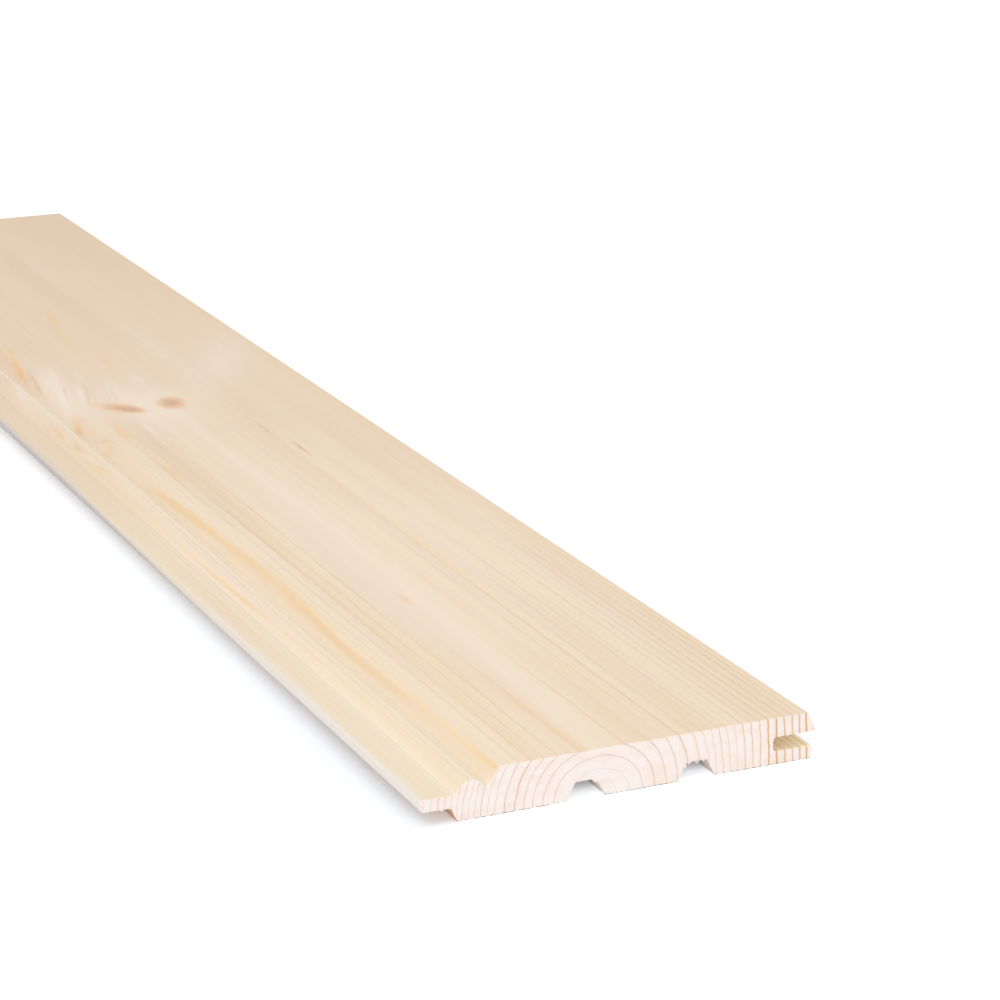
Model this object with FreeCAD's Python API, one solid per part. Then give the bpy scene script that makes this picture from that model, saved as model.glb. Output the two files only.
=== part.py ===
"""Tongue and groove lining board with a beaded joint and two relief grooves in its back.

One piece of planed softwood, sawn square at both ends. Sizes are in millimetres.

The section is drawn with its own zero at the tip of the tongue and at the back of the board,
and is moved at the end so that the origin is the middle of the board's back. X runs across the
board from the tongue to the groove, Y runs along it, and Z runs up from the back to the face.
"""

import FreeCAD, Part
import math
import os

# Stock
LENGTH = 710.0
WIDTH = 121.0  # from the tip of the tongue to the tip of the face lip
THICKNESS = 14.0

# Tongue
TONGUE_LENGTH = 10.0
TONGUE_THICKNESS = 3.8
TONGUE_MIDDLE = 6.0  # height of its middle over the back
TONGUE_NOSE_FACE_RADIUS = 0.6
TONGUE_NOSE_BACK_RADIUS = 1.3
TONGUE_ROOT_RADIUS = 0.3

# Shoulder under the tongue, which leans away from the next board's back lip
BACK_SHOULDER_ROOT = 1.0  # how far its root lies out from the foot of the face shoulder
BACK_SHOULDER_LEAN = 1.9
BACK_EDGE_RADIUS = 0.5

# Bead between the tongue and the face. The shoulder runs up to it, and a valley parts it from
# the bevel that rises to the face. Each setback is from the foot of the shoulder.
BEAD_RADIUS = 4.2
BEAD_SETBACK = 5.0  # to the middle of the bead
BEAD_BELOW_FACE = 2.7
VALLEY_SETBACK = 9.7
VALLEY_BELOW_FACE = 6.0  # to the sharp corner that its radius rounds
VALLEY_RADIUS = 0.7
FACE_SETBACK = 13.0
FACE_EDGE_RADIUS = 0.3

# Groove and the two lips beside it
GROOVE_CLEARANCE = 0.25  # over and under the next board's tongue
GROOVE_END_GAP = 3.5  # between the tip of the next board's tongue and the bottom of the groove
GROOVE_CORNER_RADIUS = 1.2
FACE_LIP_LEAN = 2.8  # how far the lip's end slopes back from its tip to the face
FACE_LIP_TIP = 0.45  # height of the flat at the tip
BACK_LIP_SETBACK = 1.2  # how much shorter the back lip is, so that the face closes first
LIP_TIP_RADIUS = 0.15
BACK_LIP_EDGE_RADIUS = 0.7

# Relief grooves along the back
RELIEF_COUNT = 2
RELIEF_PITCH = 34.0
RELIEF_MIDDLE = 66.3  # from the tip of the tongue to the middle of the whole set
RELIEF_MOUTH = 12.0
RELIEF_FLOOR = 6.2
RELIEF_DEPTH = 5.3
RELIEF_MOUTH_RADIUS = 0.3
RELIEF_FLOOR_RADIUS = 0.4


def at(x, z):
    """A point of the section, x across the board and z up from its back."""
    return FreeCAD.Vector(x, 0.0, z)


def arc(start, middle, end):
    """An arc edge through three points."""
    return Part.Arc(start, middle, end).toShape()


def round_corner(before, corner, after, radius):
    """The start, middle and end of the arc that rounds a corner between two straight runs."""
    back = (before - corner).normalize()
    on = (after - corner).normalize()
    half_angle = back.getAngle(on) / 2.0
    inward = (back + on).normalize()
    run = radius / math.tan(half_angle)
    to_arc = radius / math.sin(half_angle) - radius
    return corner + back * run, corner + inward * to_arc, corner + on * run


def rounded_run(corners):
    """Edges along a list of (point, radius) corners, whose first and last points stay sharp."""
    edges = []
    last = corners[0][0]
    for index in range(1, len(corners) - 1):
        corner, radius = corners[index]
        start, middle, end = round_corner(
            corners[index - 1][0], corner, corners[index + 1][0], radius
        )
        edges.append(Part.makeLine(last, start))
        edges.append(arc(start, middle, end))
        last = end
    edges.append(Part.makeLine(last, corners[-1][0]))
    return edges


def tangent_point(outside, centre, radius, side):
    """Where a straight line from a point outside a circle touches it, on side 1 or -1."""
    to_point = outside - centre
    bearing = math.atan2(to_point.z, to_point.x)
    turn = math.acos(radius / to_point.Length)
    return centre + at(math.cos(bearing + side * turn), math.sin(bearing + side * turn)) * radius


def relief_corners():
    """Corners of the relief grooves, taken from the groove side to the tongue side."""
    corners = []
    for index in reversed(range(RELIEF_COUNT)):
        middle = RELIEF_MIDDLE + (index - (RELIEF_COUNT - 1) / 2.0) * RELIEF_PITCH
        corners += [
            (at(middle + RELIEF_MOUTH / 2.0, 0.0), RELIEF_MOUTH_RADIUS),
            (at(middle + RELIEF_FLOOR / 2.0, RELIEF_DEPTH), RELIEF_FLOOR_RADIUS),
            (at(middle - RELIEF_FLOOR / 2.0, RELIEF_DEPTH), RELIEF_FLOOR_RADIUS),
            (at(middle - RELIEF_MOUTH / 2.0, 0.0), RELIEF_MOUTH_RADIUS),
        ]
    return corners


def groove_corners():
    """Corners of the groove side, from the edge of the face round to the back."""
    groove_top = TONGUE_MIDDLE + TONGUE_THICKNESS / 2.0 + GROOVE_CLEARANCE
    groove_bottom = TONGUE_MIDDLE - TONGUE_THICKNESS / 2.0 - GROOVE_CLEARANCE
    groove_end = WIDTH - TONGUE_LENGTH - GROOVE_END_GAP
    back_lip = WIDTH - BACK_LIP_SETBACK
    return [
        (at(WIDTH - FACE_LIP_LEAN, THICKNESS), FACE_EDGE_RADIUS),
        (at(WIDTH, groove_top + FACE_LIP_TIP), LIP_TIP_RADIUS),
        (at(WIDTH, groove_top), LIP_TIP_RADIUS),
        (at(groove_end, groove_top), GROOVE_CORNER_RADIUS),
        (at(groove_end, groove_bottom), GROOVE_CORNER_RADIUS),
        (at(back_lip, groove_bottom), LIP_TIP_RADIUS),
        (at(back_lip, 0.0), BACK_LIP_EDGE_RADIUS),
    ]


def tongue_corners():
    """Corners of the tongue side, from the back round to the foot of the face shoulder."""
    tongue_top = TONGUE_MIDDLE + TONGUE_THICKNESS / 2.0
    tongue_bottom = TONGUE_MIDDLE - TONGUE_THICKNESS / 2.0
    shoulder_root = TONGUE_LENGTH - BACK_SHOULDER_ROOT
    return [
        (at(shoulder_root + BACK_SHOULDER_LEAN, 0.0), BACK_EDGE_RADIUS),
        (at(shoulder_root, tongue_bottom), TONGUE_ROOT_RADIUS),
        (at(0.0, tongue_bottom), TONGUE_NOSE_BACK_RADIUS),
        (at(0.0, tongue_top), TONGUE_NOSE_FACE_RADIUS),
        (at(TONGUE_LENGTH, tongue_top), TONGUE_ROOT_RADIUS),
    ]


def board_section():
    """The whole section as one closed face."""
    shoulder_foot = at(TONGUE_LENGTH, TONGUE_MIDDLE + TONGUE_THICKNESS / 2.0)
    bead_centre = at(TONGUE_LENGTH + BEAD_SETBACK, THICKNESS - BEAD_BELOW_FACE - BEAD_RADIUS)
    bead_top = bead_centre + at(0.0, BEAD_RADIUS)
    valley = at(TONGUE_LENGTH + VALLEY_SETBACK, THICKNESS - VALLEY_BELOW_FACE)
    face_edge = at(TONGUE_LENGTH + FACE_SETBACK, THICKNESS)

    bead_start = tangent_point(shoulder_foot, bead_centre, BEAD_RADIUS, -1)
    bead_end = tangent_point(valley, bead_centre, BEAD_RADIUS, 1)
    corners = [(bead_end, 0.0), (valley, VALLEY_RADIUS), (face_edge, FACE_EDGE_RADIUS)]
    corners += groove_corners() + relief_corners() + tongue_corners() + [(bead_start, 0.0)]
    return Part.Face(Part.Wire(rounded_run(corners) + [arc(bead_start, bead_top, bead_end)]))


def board():
    """The board, with the middle of its back at the origin."""
    solid = board_section().extrude(FreeCAD.Vector(0.0, LENGTH, 0.0))
    solid.translate(FreeCAD.Vector(-WIDTH / 2.0, -LENGTH / 2.0, 0.0))
    return solid


def main():
    """Build the board, check it and write it to its own file."""
    os.makedirs("parts", exist_ok=True)
    shape = board()
    box = shape.BoundBox
    print(
        f"board: {shape.ShapeType}, valid {shape.isValid()}, {len(shape.Faces)} faces, "
        f"{shape.Volume / 1000.0:.1f} cm3, {box.XLength:.2f} x {box.YLength:.2f} x {box.ZLength:.2f} mm"
    )
    shape.exportStep("parts/board.step")


main()
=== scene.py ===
"""A tongue and groove lining board in bare planed softwood, lying face up on a pale floor.

Lengths are in metres in the part's own frame: X runs across the board from its tongue to its
groove, Y runs along it, and Z runs up from its back to its face. Places in the wood's finishes
are in bench millimetres: they are counted from the tip of the tongue, from the near end and from
the back, which is how the board would be measured on a bench.
"""

import logging
import math
from dataclasses import dataclass
from enum import Enum
from functools import reduce
from typing import Callable, Optional, Union

import bmesh
import bpy
from mathutils import Matrix, Vector


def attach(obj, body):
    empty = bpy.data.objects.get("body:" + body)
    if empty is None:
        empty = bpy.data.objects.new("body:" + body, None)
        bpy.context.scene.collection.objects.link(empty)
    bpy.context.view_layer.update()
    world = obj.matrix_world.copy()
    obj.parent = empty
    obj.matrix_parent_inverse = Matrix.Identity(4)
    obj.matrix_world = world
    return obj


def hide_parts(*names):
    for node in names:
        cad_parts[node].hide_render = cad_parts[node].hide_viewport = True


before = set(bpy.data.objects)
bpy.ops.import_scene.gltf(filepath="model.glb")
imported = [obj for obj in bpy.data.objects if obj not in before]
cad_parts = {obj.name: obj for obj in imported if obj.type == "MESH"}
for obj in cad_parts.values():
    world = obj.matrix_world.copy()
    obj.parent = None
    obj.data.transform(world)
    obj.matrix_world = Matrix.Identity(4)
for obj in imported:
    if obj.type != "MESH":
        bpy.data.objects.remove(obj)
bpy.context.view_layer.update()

LOG = logging.getLogger("lining_board")
PER_METRE = 1000.0

Socket = bpy.types.NodeSocket
Value = Union[Socket, float, tuple]


class Cut(Enum):
    """How a surface of the board was cut, and its place among the piece's materials."""

    PLANED = 0
    SAWN = 1


class Way(Enum):
    """The board's three directions, in the order of a place's parts."""

    ACROSS = 0
    ALONG = 1
    UP = 2


ACROSS, ALONG, UP = Way


@dataclass(frozen=True)
class Viewpoint:
    """The camera, as solved from the board's own edges."""

    lens: float = 113.249
    film: float = 36.0
    nearest: float = 0.05
    farthest: float = 60.0
    place: tuple = (-0.362841, -1.065804, 0.337063)
    yaw_deg: float = 24.6174
    pitch_deg: float = -17.6177
    roll_deg: float = 0.0961

    def build(self) -> bpy.types.Object:
        """Add the camera and make it the scene's own.

        Returns:
            The camera's object.
        """
        yaw, pitch, roll = (math.radians(a) for a in (self.yaw_deg, self.pitch_deg, self.roll_deg))
        flat = math.cos(pitch)
        ahead = Vector((math.sin(yaw) * flat, math.cos(yaw) * flat, math.sin(pitch)))
        level = Vector((math.cos(yaw), -math.sin(yaw), 0.0))
        upright = level.cross(ahead)
        right = level * math.cos(roll) + upright * math.sin(roll)
        up = upright * math.cos(roll) - level * math.sin(roll)
        turned = Matrix((right, up, -ahead)).transposed().to_4x4()
        bpy.ops.object.camera_add()
        camera = bpy.context.object
        camera.name = "viewpoint"
        camera.data.lens = self.lens
        camera.data.sensor_width = self.film
        camera.data.clip_start = self.nearest
        camera.data.clip_end = self.farthest
        camera.matrix_world = Matrix.Translation(self.place) @ turned
        bpy.context.scene.camera = camera
        return camera


class Sheet:
    """A node tree with short ways to add nodes to it and join them."""

    MIX_INPUTS = (0, 6, 7)
    MIX_COLOUR = 2
    NUMBER_MAKERS = ("LENGTH", "DOT_PRODUCT", "DISTANCE")

    def __init__(self, tree: bpy.types.NodeTree) -> None:
        """Keep the tree that the nodes go into."""
        self.tree = tree

    def add(self, kind: str, **settings: object) -> bpy.types.Node:
        """Add a node.

        Args:
            kind: the node's type, without its ShaderNode prefix.
            settings: the node's own properties.

        Returns:
            The new node.
        """
        node = self.tree.nodes.new("ShaderNode" + kind)
        for name, value in settings.items():
            setattr(node, name, value)
        return node

    def feed(self, socket: Socket, value: Value) -> None:
        """Link a socket to another, or set its plain value.

        Args:
            socket: the input.
            value: the output that it is linked to, or its plain value.
        """
        if isinstance(value, bpy.types.NodeSocket):
            self.tree.links.new(value, socket)
        else:
            socket.default_value = value

    def give(self, node: bpy.types.Node, values: dict) -> None:
        """Feed a node's inputs by name."""
        for name, value in values.items():
            self.feed(node.inputs[name], value)

    def fill(self, node: bpy.types.Node, *values: Value) -> Socket:
        """Feed a node's first inputs in order.

        Args:
            node: the node.
            values: a value for each of those inputs.

        Returns:
            The node's first output.
        """
        for socket, value in zip(node.inputs, values):
            self.feed(socket, value)
        return node.outputs[0]

    def math(self, operation: str, first: Value, second: Value = 0.0, third: Value = 0.0) -> Socket:
        """Add a Math node and return its result."""
        return self.fill(self.add("Math", operation=operation), first, second, third)

    def product(self, *factors: Value) -> Value:
        """Return the factors multiplied."""
        return reduce(lambda so_far, factor: self.math("MULTIPLY", so_far, factor), factors)

    def total(self, *terms: Value) -> Value:
        """Return the terms added up."""
        return reduce(lambda so_far, term: self.math("ADD", so_far, term), terms)

    def apart(self, first: Value, second: Value) -> Socket:
        """Return how far apart two numbers are."""
        return self.math("ABSOLUTE", self.math("SUBTRACT", first, second))

    def between(self, share: Socket, first: Value, second: Value) -> Socket:
        """Return a number that goes from the first to the second while the share goes from 0 to 1."""
        rest = self.product(first, self.math("SUBTRACT", 1.0, share))
        return self.math("ADD", rest, self.product(second, share))

    def vector(self, operation: str, first: Value, second: Value = (0.0, 0.0, 0.0)) -> Socket:
        """Add a Vector Math node.

        Args:
            operation: what it does.
            first: its first vector.
            second: its second vector.

        Returns:
            Its vector, or its number where it makes one.
        """
        node = self.add("VectorMath", operation=operation)
        self.fill(node, first, second)
        return node.outputs["Value" if operation in self.NUMBER_MAKERS else "Vector"]

    def split(self, vector: Socket) -> tuple:
        """Return the three parts of a vector."""
        node = self.fill(self.add("SeparateXYZ"), vector).node
        return tuple(node.outputs)

    def join(self, x: Value, y: Value = 0.0, z: Value = 0.0) -> Socket:
        """Return a vector of three parts."""
        return self.fill(self.add("CombineXYZ"), x, y, z)

    def ramp(self, value: Value, low: Value, high: Value, start: Value = 0.0, end: Value = 1.0) -> Socket:
        """Pass smoothly from start to end while the value goes from low to high."""
        return self.fill(self.add("MapRange", interpolation_type="SMOOTHSTEP"), value, low, high, start, end)

    def blend(self, amount: Value, first: Value, second: Value, mode: str = "MIX") -> Socket:
        """Blend two colours.

        Args:
            amount: the share of the second, from 0 to 1.
            first: the colour below.
            second: the colour above.
            mode: the way that they mix.

        Returns:
            The mixed colour.
        """
        node = self.add("Mix", data_type="RGBA", blend_type=mode, clamp_factor=True)
        for index, value in zip(self.MIX_INPUTS, (amount, first, second)):
            self.feed(node.inputs[index], value)
        return node.outputs[self.MIX_COLOUR]

    def curve(self, value: Value, points: tuple, reach: float, top: float) -> Socket:
        """Follow a smooth curve through (value, result) points.

        Args:
            value: what the curve is read at.
            points: its points, in order.
            reach: the largest value that it is read at.
            top: the largest result.

        Returns:
            The result at the value.
        """
        node = self.add("FloatCurve")
        line = node.mapping.curves[0]
        line.points[0].location = (points[0][0] / reach, points[0][1] / top)
        line.points[1].location = (points[-1][0] / reach, points[-1][1] / top)
        for at, result in points[1:-1]:
            line.points.new(at / reach, result / top)
        node.mapping.update()
        self.feed(node.inputs["Value"], self.math("DIVIDE", value, reach))
        return self.math("MULTIPLY", node.outputs[0], top)


def colour(red: int, green: int, blue: int) -> tuple:
    """Return a screen colour of 0 to 255 as the linear colour that a shader takes."""
    parts = [c / 255.0 for c in (red, green, blue)]
    return (*(c / 12.92 if c <= 0.04045 else ((c + 0.055) / 1.055) ** 2.4 for c in parts), 1.0)


@dataclass(frozen=True)
class Bench:
    """Turns Object coordinates into millimetres from the tongue's tip, the near end and the back."""

    half_width: float = 60.5
    half_length: float = 355.0

    def place(self, sheet: Sheet) -> Socket:
        """Return the place of each point in the board, in millimetres."""
        scaled = sheet.vector("MULTIPLY", sheet.add("TexCoord").outputs["Object"], (PER_METRE,) * 3)
        return sheet.vector("ADD", scaled, (self.half_width, self.half_length, 0.0))


@dataclass(frozen=True)
class Fade:
    """A smooth passage from one strength to another along one way of the board.

    Its limits are in bench millimetres. With a middle, they are distances from that place.
    """

    way: Way
    low: float
    high: float
    start: float = 0.0
    end: float = 1.0
    middle: Optional[float] = None

    def mask(self, sheet: Sheet, parts: tuple) -> Socket:
        """Return the strength at each point, from the three parts of its place."""
        at = parts[self.way.value]
        value = at if self.middle is None else sheet.apart(at, self.middle)
        return sheet.ramp(value, self.low, self.high, self.start, self.end)


def meeting(sheet: Sheet, parts: tuple, fades: tuple) -> Value:
    """Return the strength where several fades meet."""
    return sheet.product(*(fade.mask(sheet, parts) for fade in fades))


@dataclass(frozen=True)
class Grain:
    """Noise drawn out along the wood, by its waves for each millimetre and how fine and rough it is.

    Its depth is how far it swings in all, where it swings to both sides of nought.
    """

    stretch: tuple
    detail: float
    rough: float = 0.5
    depth: float = 1.0

    def noise(self, sheet: Sheet, place: Value) -> Socket:
        """Return the noise at each point.

        Args:
            sheet: the nodes that it joins.
            place: the point.

        Returns:
            The noise, from 0 to 1.
        """
        node = sheet.add("TexNoise", noise_dimensions="3D")
        drawn_out = sheet.vector("MULTIPLY", place, self.stretch)
        sheet.give(node, {"Vector": drawn_out, "Scale": 1.0, "Detail": self.detail, "Roughness": self.rough})
        return node.outputs[0]

    def swing(self, sheet: Sheet, place: Value) -> Socket:
        """Return the noise spread to both sides of nought, over its depth."""
        return sheet.math("MULTIPLY_ADD", self.noise(sheet, place), self.depth, -self.depth / 2)


@dataclass(frozen=True)
class Coat:
    """A screen colour laid over the wood: how strongly, and where on the board."""

    tone: tuple
    strength: float = 1.0
    zone: tuple = ()

    def over(self, sheet: Sheet, wood: Value, parts: tuple, *amounts: Value) -> Socket:
        """Return the wood's colour with the coat over it, weakened by any amounts."""
        masks = [fade.mask(sheet, parts) for fade in self.zone]
        return sheet.blend(sheet.product(self.strength, *amounts, *masks), wood, colour(*self.tone))


@dataclass(frozen=True)
class Group:
    """A shader node group, with the names and kinds of its inputs, and the names of its numbers out."""

    name: str
    inputs: dict
    outputs: tuple

    def open(self) -> tuple:
        """Make the group.

        Returns:
            The group's sheet, its input node and its output node.
        """
        tree = bpy.data.node_groups.new(self.name, "ShaderNodeTree")
        for label, kind in self.inputs.items():
            tree.interface.new_socket(name=label, in_out="INPUT", socket_type="NodeSocket" + kind)
        for label in self.outputs:
            tree.interface.new_socket(name=label, in_out="OUTPUT", socket_type="NodeSocketFloat")
        return Sheet(tree), tree.nodes.new("NodeGroupInput"), tree.nodes.new("NodeGroupOutput")


@dataclass(frozen=True)
class Branch:
    """A branch's rod through the wood, in bench millimetres.

    It meets the face at a point, its radius there grows by a share for each millimetre along it,
    and it shows once its run along the axis is past where it starts.
    """

    at: tuple
    along: tuple
    radius: float
    starts: tuple
    widening: float = 0.0
    thinnest: float = 1.0
    hidden: float = 4.0

    def distance(self, sheet: Sheet, place: Socket) -> Socket:
        """Return how far each point is from the branch's axis.

        Args:
            sheet: the group's nodes.
            place: the point in bench millimetres.

        Returns:
            The distance in radii, with more added where the branch hasn't started.
        """
        axis = tuple(Vector(self.along).normalized())
        offset = sheet.vector("SUBTRACT", place, self.at)
        away = sheet.vector("LENGTH", sheet.vector("CROSS_PRODUCT", offset, axis))
        run = sheet.vector("DOT_PRODUCT", offset, axis)
        grown = sheet.math("MULTIPLY_ADD", run, self.widening * self.radius, self.radius)
        radii = sheet.math("DIVIDE", away, sheet.math("MAXIMUM", grown, self.thinnest))
        return sheet.math("ADD", radii, sheet.ramp(run, *self.starts, self.hidden, 0.0))


@dataclass(frozen=True)
class Hump:
    """A smooth hump that dies out over its reach, in bench millimetres."""

    at: tuple
    reach: tuple
    height: float = 1.0

    def mask(self, sheet: Sheet, place: Socket) -> Socket:
        """Return its height at each point.

        Args:
            sheet: the group's nodes.
            place: the point in bench millimetres.

        Returns:
            The height.
        """
        offset = sheet.vector("DIVIDE", sheet.vector("SUBTRACT", place, self.at), self.reach)
        square = sheet.vector("DOT_PRODUCT", offset, offset)
        return sheet.product(sheet.math("EXPONENT", sheet.product(square, -1.0)), self.height)


@dataclass(frozen=True)
class Knots:
    """Two branches that reach the face side by side, and the wood that swells round them."""

    slanted: Branch = Branch((41.6, 372.8, 14.0), (-0.51, 0.7, 0.5), 4.9, (-22.0, -18.0), 0.03)
    upright: Branch = Branch((59.0, 374.5, 14.0), (0.12, 0.75, 0.62), 5.5, (-13.0, -10.0))
    wobble: Grain = Grain((0.35, 0.35, 0.35), 3.0, depth=0.5)
    heart_edge: tuple = (1.05, 0.15)
    rim_edge: tuple = (1.3, 0.75)
    halos: tuple = (
        Hump((50.0, 375.0, 14.0), (17.0, 26.0, 60.0)),
        Hump((22.0, 398.0, 14.0), (9.0, 30.0, 60.0)),
    )
    swells: tuple = (
        Hump((50.0, 376.0, 14.0), (26.0, 34.0, 80.0), 5.0),
        Hump((24.0, 402.0, 14.0), (9.0, 26.0, 80.0), 6.5),
    )

    def build(self) -> bpy.types.NodeTree:
        """Make the node group.

        Returns:
            The group, with the knots' heart, their rim, the pale wood round them, and how far
            they push the growth rings out.
        """
        sheet, given, made = Group("knots", {"Place": "Vector"}, ("Heart", "Rim", "Halo", "Push")).open()
        place = given.outputs["Place"]
        slanted, upright = (branch.distance(sheet, place) for branch in (self.slanted, self.upright))
        edge = sheet.math("ADD", sheet.math("MINIMUM", slanted, upright), self.wobble.swing(sheet, place))
        sheet.give(made, {
            "Heart": sheet.ramp(edge, *self.heart_edge),
            "Rim": sheet.ramp(edge, *self.rim_edge),
            "Halo": sheet.total(*(hump.mask(sheet, place) for hump in self.halos)),
            "Push": sheet.total(*(hump.mask(sheet, place) for hump in self.swells)),
        })
        return sheet.tree


@dataclass(frozen=True)
class GrowthRings:
    """The tree's growth rings through the whole board, round a pith that runs along its back.

    Radii are in millimetres from the pith along the back. The rings are wider towards the tongue
    than towards the groove, so each side has its own curve from radius to ring number. Up the
    board's thickness, the rings lean by a steepness that changes across it.
    """

    pith_x: float = 54.0
    tongue_side: tuple = (
        (0.0, -1.6), (5.5, 0.0), (14.5, 2.0), (20.8, 4.0), (26.2, 6.0), (32.1, 8.0), (36.3, 10.0),
        (41.8, 13.0), (47.2, 16.0), (53.6, 19.0), (64.1, 24.0),
    )
    groove_side: tuple = (
        (0.0, -1.6), (4.8, 0.0), (12.6, 2.0), (20.0, 4.0), (27.1, 6.0), (30.7, 7.0), (33.3, 8.0),
        (40.0, 11.0), (47.2, 14.0), (54.9, 17.0), (60.0, 19.0), (66.5, 22.0),
    )
    steepness: tuple = (
        (0.0, 1.15), (14.0, 1.16), (20.0, 1.13), (26.0, 1.095), (33.0, 1.1), (37.0, 1.13), (41.0, 1.14),
        (47.0, 1.17), (54.0, 1.13), (62.0, 1.07), (68.0, 1.0), (73.0, 0.96), (80.0, 0.95), (87.0, 0.86),
        (95.0, 0.78), (106.0, 0.63), (121.0, 0.62),
    )
    strengths: tuple = (
        0.1, 0.12, 0.3, 0.36, 0.42, 0.4, 0.62, 0.46, 0.36, 0.38, 0.6, 0.42, 0.36, 0.68, 0.56, 0.52,
        0.9, 0.9, 0.6, 0.52, 0.66, 0.9, 0.1,
    )
    least_radius: float = 0.01
    largest_radius: float = 70.0
    most_rings: float = 25.0
    board_width: float = 121.0
    steepest: float = 1.2
    slow: Grain = Grain((0.02, 0.0045, 0.0), 2.0)
    drift: Fade = Fade(ALONG, 120.0, 420.0, 0.0, 6.0)
    wave: Grain = Grain((0.22, 0.012, 0.22), 5.0, 0.62, 1.1)
    quiver: Grain = Grain((0.3, 0.045, 0.3), 3.0)
    quivering: Fade = Fade(ALONG, 2.0, 50.0, 0.0, 0.7)
    sides: tuple = (-0.8, 0.8)
    count_shift: float = -0.045
    step_shift: float = 1.5
    fine_rings: tuple = (12.0, 19.0)
    late_from: tuple = (0.84, 0.95)
    late_to: tuple = (1.0, 0.965)
    season: tuple = (0.25, 1.0)
    side_strengths: tuple = (0.2, 0.8, 0.95, 1.0)

    def radius(self, sheet: Sheet, place: Socket, push: Socket) -> tuple:
        """Work out where each point lies round the pith.

        Args:
            sheet: the group's nodes.
            place: the point in bench millimetres.
            push: how far the knots push the rings out.

        Returns:
            The radius that the rings are read at, and the groove side's share in it.
        """
        parts = sheet.split(place)
        x, _, z = parts
        drift = sheet.product(self.slow.swing(sheet, place), self.drift.mask(sheet, parts))
        quiver = sheet.product(self.quiver.swing(sheet, place), self.quivering.mask(sheet, parts))
        ripple = sheet.math("ADD", quiver, self.wave.swing(sheet, place))
        across = sheet.math("ADD", sheet.math("SUBTRACT", x, self.pith_x), drift)
        height = sheet.product(z, sheet.curve(x, self.steepness, self.board_width, self.steepest))
        radius = sheet.vector("LENGTH", sheet.join(across, height))
        side = sheet.math("DIVIDE", across, sheet.math("MAXIMUM", radius, self.least_radius))
        pushed = sheet.math("SUBTRACT", sheet.math("ADD", radius, ripple), push)
        return sheet.math("MAXIMUM", pushed, 0.0), sheet.ramp(side, *self.sides)

    def build(self) -> bpy.types.NodeTree:
        """Make the node group.

        Returns:
            The group, with the thin late-wood lines and the slow darkening inside each ring.
        """
        sheet, given, made = Group(
            "growth_rings", {"Place": "Vector", "Push": "Float", "Breadth": "Float"}, ("Late Wood", "Season")
        ).open()
        reached, share = self.radius(sheet, given.outputs["Place"], given.outputs["Push"])
        number = sheet.between(share, *(
            sheet.curve(reached, side, self.largest_radius, self.most_rings)
            for side in (self.tongue_side, self.groove_side)
        ))
        counted = sheet.math("ADD", number, self.count_shift)
        part = sheet.math("FRACT", counted)
        ring = sheet.math("SUBTRACT", counted, part)
        wider = sheet.ramp(sheet.product(number, share), *self.fine_rings, 0.0, given.outputs["Breadth"])
        late = sheet.ramp(sheet.math("ADD", part, wider), *self.late_from)
        steps = sheet.add("ValToRGB")
        self.set_strengths(steps.color_ramp)
        step = sheet.math("ADD", ring, self.step_shift)
        sheet.feed(steps.inputs[0], sheet.math("DIVIDE", step, len(self.strengths) + 1.0))
        sided = sheet.product(steps.outputs[0], sheet.ramp(share, *self.side_strengths))
        sheet.give(made, {
            "Late Wood": sheet.product(late, sheet.ramp(part, *self.late_to), sided),
            "Season": sheet.product(sheet.ramp(part, *self.season), sided),
        })
        return sheet.tree

    def set_strengths(self, ramp: bpy.types.ColorRamp) -> None:
        """Give each ring's late wood its own darkness.

        Args:
            ramp: the colour ramp that gets one step for each ring.
        """
        ramp.interpolation = "CONSTANT"
        for index, strength in enumerate(self.strengths):
            at = index / (len(self.strengths) + 1.0)
            stop = ramp.elements[0] if index == 0 else ramp.elements.new(at)
            stop.position = at
            stop.color = (strength, strength, strength, 1.0)
        last = ramp.elements[-1]
        last.position = 1.0
        last.color = (self.strengths[-1],) * 3 + (1.0,)


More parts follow.
